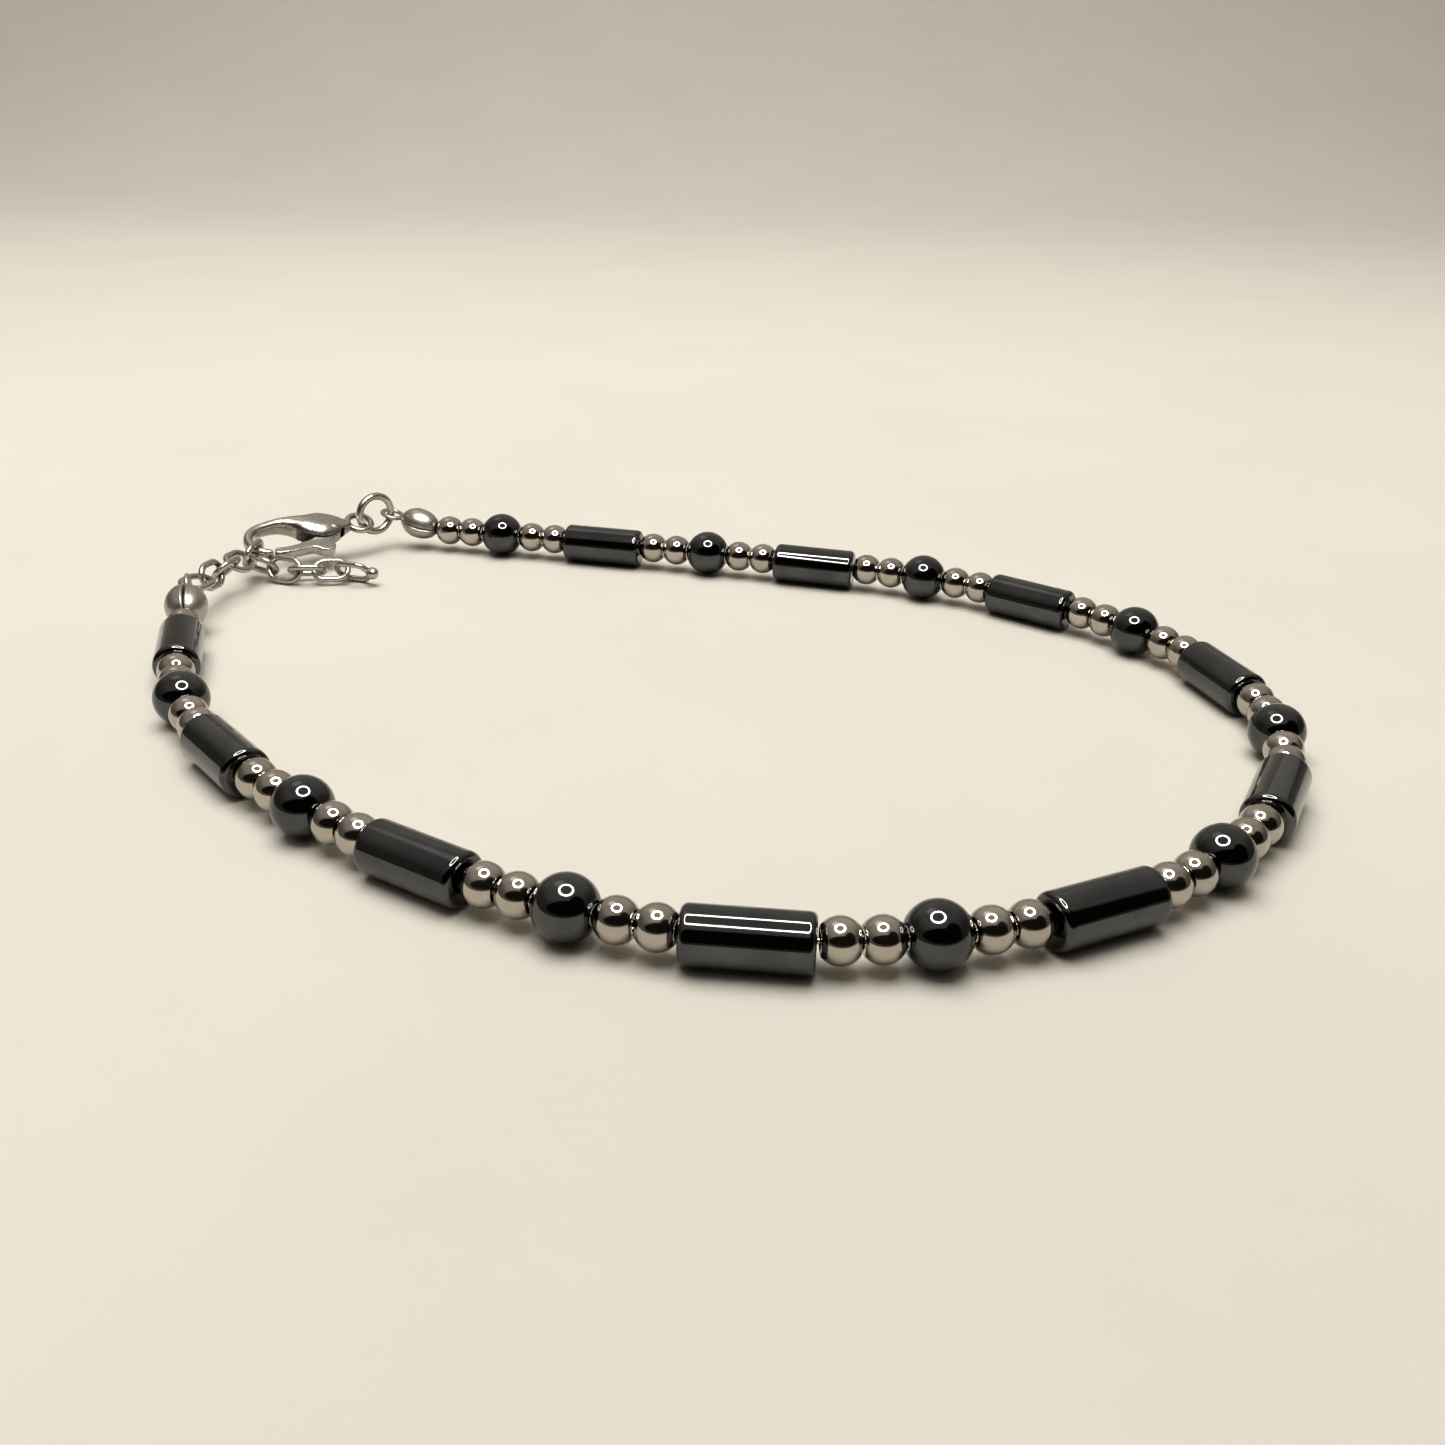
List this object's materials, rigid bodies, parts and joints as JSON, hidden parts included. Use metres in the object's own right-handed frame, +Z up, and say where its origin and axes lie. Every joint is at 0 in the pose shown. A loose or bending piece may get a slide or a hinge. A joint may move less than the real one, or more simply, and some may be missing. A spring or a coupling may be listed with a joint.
{
  "type": "beaded anklet",
  "caption": "Closed beaded anklet of dark tube and round beads with silver spacers, calottes, a lobster clasp and an extender chain.",
  "frame": {"origin": "on the surface that the anklet lies on, below the middle of its box", "axes": "+Z up, +X to the right of the picture, +Y away from the viewer towards the clasp"},
  "size_m": [0.0864, 0.0732, 0.0055],
  "materials": {
    "dark_stone": "polished, near-black mirror grey",
    "silver_plate": "polished silver plate, slightly warm",
    "steel": "polished warm grey metal"
  },
  "bodies": {
    "anklet": {"tube_bead_01": "dark_stone", "tube_bead_02": "dark_stone", "tube_bead_03": "dark_stone", "tube_bead_04": "dark_stone", "tube_bead_05": "dark_stone", "tube_bead_06": "dark_stone", "tube_bead_07": "dark_stone", "tube_bead_08": "dark_stone", "tube_bead_09": "dark_stone", "tube_bead_10": "dark_stone", "round_bead_01": "dark_stone", "round_bead_02": "dark_stone", "round_bead_03": "dark_stone", "round_bead_04": "dark_stone", "round_bead_05": "dark_stone", "round_bead_06": "dark_stone", "round_bead_07": "dark_stone", "round_bead_08": "dark_stone", "round_bead_09": "dark_stone", "round_bead_10": "dark_stone", "bead_string": "silver_plate", "calotte_left": "steel", "calotte_right": "steel", "clasp_body": "steel", "jump_ring": "steel", "chain_link_01": "steel", "chain_link_02": "steel", "chain_link_03": "steel", "chain_link_04": "steel", "chain_link_05": "steel", "chain_link_06": "steel", "chain_link_07": "steel", "chain_link_08": "steel", "chain_link_09": "steel", "chain_end": "steel"},
    "lever": {"clasp_lever": "steel"}
  },
  "joints": [
    {"name": "clasp_lever_hinge", "type": "hinge", "parent": "anklet", "child": "lever", "pos_m": [-0.03439, 0.03036, 0.00271], "axis": [0.2684, -0.3066, 0.9132], "range_deg": [-16, 0], "stiffness_Nm_per_rad": 0.0005}
  ]
}
